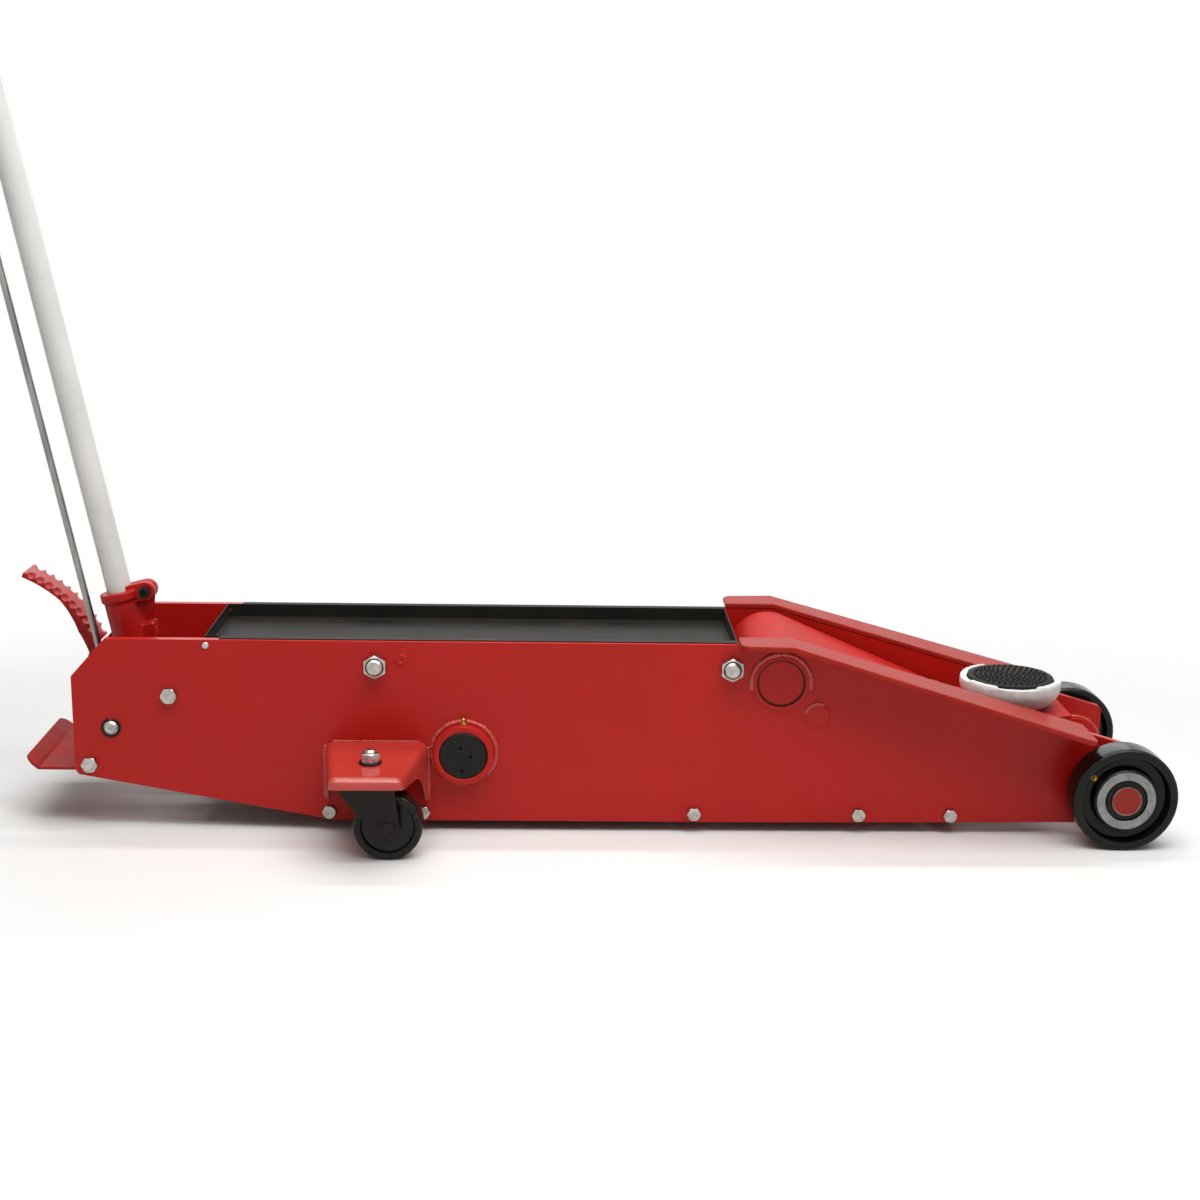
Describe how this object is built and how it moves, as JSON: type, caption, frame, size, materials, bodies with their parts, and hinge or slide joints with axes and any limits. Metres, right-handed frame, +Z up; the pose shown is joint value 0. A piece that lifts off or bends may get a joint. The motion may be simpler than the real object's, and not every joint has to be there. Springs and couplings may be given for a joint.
{
  "type": "hydraulic trolley jack",
  "caption": "Long-chassis hydraulic trolley jack: plated chassis on wheels and castors, pump handle, quick-lift pedal and a lift arm with a level rotating saddle.",
  "frame": {"origin": "on the floor, below the middle of the whole jack", "axes": "+X from the handle end to the saddle end, +Y to the left, +Z up"},
  "size_m": [1.8506, 0.56, 1.4116],
  "materials": {
    "red_paint": "gloss red enamel over plate and castings",
    "black_tray_paint": "satin black powder coat",
    "zinc_plate": "bright zinc plate",
    "machined_steel": "oiled machined steel",
    "black_oxide": "black oxide",
    "grey_iron": "as-cast iron, oiled",
    "unit_paint": "dark grey paint",
    "hard_chrome": "ground hard chrome",
    "spring_steel": "oil-tempered spring wire",
    "white_enamel": "off-white enamel",
    "white_casting": "white paint on a rough casting",
    "rubber": "matt black rubber",
    "bright_steel": "bright drawn steel",
    "wheel_black": "gloss black paint on cast iron",
    "castor_black": "black paint on pressed steel",
    "castor_tread": "black paint on cast iron"
  },
  "bodies": {
    "chassis": {"right_side_plate": "red_paint", "left_side_plate": "red_paint", "top_flanges": "red_paint", "foot_plate": "red_paint", "cross_bars": "red_paint", "chassis_bolts": "zinc_plate", "tie_rods": "zinc_plate", "tool_tray": "black_tray_paint", "lift_pivot_shaft": "red_paint", "thrust_spacers": "machined_steel", "levelling_pins": "red_paint", "trunnion_block": "grey_iron", "trunnion_shafts": "black_oxide", "trunnion_bosses": "red_paint", "front_axle": "red_paint", "axle_sleeves": "red_paint", "circlips": "black_oxide", "right_castor_bracket": "red_paint", "left_castor_bracket": "red_paint", "castor_kingbolts": "zinc_plate", "hydraulic_cylinder": "unit_paint", "oil_reservoir": "unit_paint", "cylinder_gland": "grey_iron", "pump_block": "grey_iron", "filler_plug": "machined_steel", "release_valve": "machined_steel", "handle_pivot_shaft": "machined_steel", "return_springs": "spring_steel", "pump_spring": "spring_steel", "quick_lift_spring": "spring_steel"},
    "lift_arm": {"right_arm_plate": "red_paint", "left_arm_plate": "red_paint", "arm_hood": "red_paint", "arm_hub": "red_paint", "arm_pins": "machined_steel"},
    "levelling_links": {"levelling_links": "red_paint"},
    "saddle_carrier": {"saddle_carrier": "red_paint", "carrier_link_pin": "machined_steel"},
    "saddle": {"saddle_cup": "white_casting", "saddle_pad": "rubber"},
    "ram": {"ram_rod": "hard_chrome", "ram_crosshead": "machined_steel"},
    "handle": {"handle_socket": "red_paint", "handle_tube": "white_enamel", "handle_grips": "rubber", "clamp_screw": "black_oxide"},
    "release_trigger": {"release_trigger": "bright_steel"},
    "release_rod": {"release_rod": "bright_steel"},
    "release_crank": {"release_crank": "machined_steel"},
    "pump_plunger": {"pump_plunger": "machined_steel"},
    "pedal": {"quick_lift_pedal": "red_paint"},
    "quick_lift_plunger": {"quick_lift_plunger": "machined_steel"},
    "right_front_wheel": {"right_front_wheel": "wheel_black", "right_wheel_ring": "bright_steel"},
    "left_front_wheel": {"left_front_wheel": "wheel_black", "left_wheel_ring": "bright_steel"},
    "right_castor_fork": {"right_castor_fork": "castor_black"},
    "left_castor_fork": {"left_castor_fork": "castor_black"},
    "right_castor_wheel": {"right_castor_wheel": "castor_tread"},
    "left_castor_wheel": {"left_castor_wheel": "castor_tread"}
  },
  "joints": [
    {"name": "lift", "type": "hinge", "parent": "chassis", "child": "lift_arm", "pos_m": [0.36334, 0, 0.225], "axis": [0, -1, 0], "range_deg": [0, 70]},
    {"name": "link_swing", "type": "hinge", "parent": "chassis", "child": "levelling_links", "pos_m": [0.41781, 0, 0.177], "axis": [0, -1, 0], "range_deg": [0, 70]},
    {"name": "carrier_level", "type": "hinge", "parent": "lift_arm", "child": "saddle_carrier", "pos_m": [0.69234, 0, 0.135], "axis": [0, -1, 0], "range_deg": [-70, 0]},
    {"name": "saddle_spin", "type": "hinge", "parent": "saddle_carrier", "child": "saddle", "pos_m": [0.71934, 0, 0.163], "axis": [0, 0, 1], "continuous": true},
    {"name": "ram_stroke", "type": "slide", "parent": "chassis", "child": "ram", "axis": [1, 0, 0], "range_m": [0, 0.13192], "deforming": ["return_springs"]},
    {"name": "handle_pump", "type": "hinge", "parent": "chassis", "child": "handle", "pos_m": [-0.58416, 0, 0.1516], "axis": [0, -1, 0], "range_deg": [0, 50], "stiffness_Nm_per_rad": 20, "springref_deg": -45.84},
    {"name": "pump_stroke", "type": "slide", "parent": "chassis", "child": "pump_plunger", "axis": [1, 0, 0], "range_m": [0, 0.03804], "deforming": ["pump_spring"]},
    {"name": "trigger_pull", "type": "hinge", "parent": "handle", "child": "release_trigger", "pos_m": [-0.82149, 0, 1.3177], "axis": [0, 1, 0], "range_deg": [0, 24.99], "stiffness_Nm_per_rad": 1.5, "springref_deg": -22.92},
    {"name": "release_lift", "type": "slide", "parent": "handle", "child": "release_rod", "axis": [-0.2011, 0, 0.9796], "range_m": [0, 0.01019]},
    {"name": "release_turn", "type": "hinge", "parent": "handle", "child": "release_crank", "pos_m": [-0.58416, 0, 0.1516], "axis": [0, 1, 0], "range_deg": [0, 27.28]},
    {"name": "pedal_press", "type": "hinge", "parent": "chassis", "child": "pedal", "pos_m": [-0.58416, 0, 0.1516], "axis": [0, -1, 0], "range_deg": [0, 25], "stiffness_Nm_per_rad": 6, "springref_deg": -28.65},
    {"name": "quick_lift_stroke", "type": "slide", "parent": "chassis", "child": "quick_lift_plunger", "axis": [1, 0, 0], "range_m": [0, 0.01948], "deforming": ["quick_lift_spring"]},
    {"name": "right_wheel_roll", "type": "hinge", "parent": "chassis", "child": "right_front_wheel", "pos_m": [0.85034, -0.1555, 0.075], "axis": [0, 1, 0], "continuous": true},
    {"name": "right_castor_swivel", "type": "hinge", "parent": "chassis", "child": "right_castor_fork", "pos_m": [-0.20966, -0.212, 0.1032], "axis": [0, 0, 1], "continuous": true},
    {"name": "right_castor_roll", "type": "hinge", "parent": "right_castor_fork", "child": "right_castor_wheel", "pos_m": [-0.18566, -0.212, 0.048], "axis": [0, 1, 0], "continuous": true},
    {"name": "left_wheel_roll", "type": "hinge", "parent": "chassis", "child": "left_front_wheel", "pos_m": [0.85034, 0.1555, 0.075], "axis": [0, 1, 0], "continuous": true},
    {"name": "left_castor_swivel", "type": "hinge", "parent": "chassis", "child": "left_castor_fork", "pos_m": [-0.20966, 0.212, 0.1032], "axis": [0, 0, 1], "continuous": true},
    {"name": "left_castor_roll", "type": "hinge", "parent": "left_castor_fork", "child": "left_castor_wheel", "pos_m": [-0.18566, 0.212, 0.048], "axis": [0, 1, 0], "continuous": true}
  ],
  "couplings": [
    {"joint": "link_swing", "follows": "lift", "ratio": 1},
    {"joint": "carrier_level", "follows": "lift", "ratio": -1},
    {"joint": "ram_stroke", "follows": "lift", "m_per_rad": 0.10798},
    {"joint": "pump_stroke", "follows": "handle_pump", "m_per_rad": 0.043586},
    {"joint": "release_lift", "follows": "trigger_pull", "m_per_rad": 0.023371},
    {"joint": "release_turn", "follows": "trigger_pull", "ratio": 1.0918},
    {"joint": "quick_lift_stroke", "follows": "pedal_press", "m_per_rad": 0.044644}
  ]
}
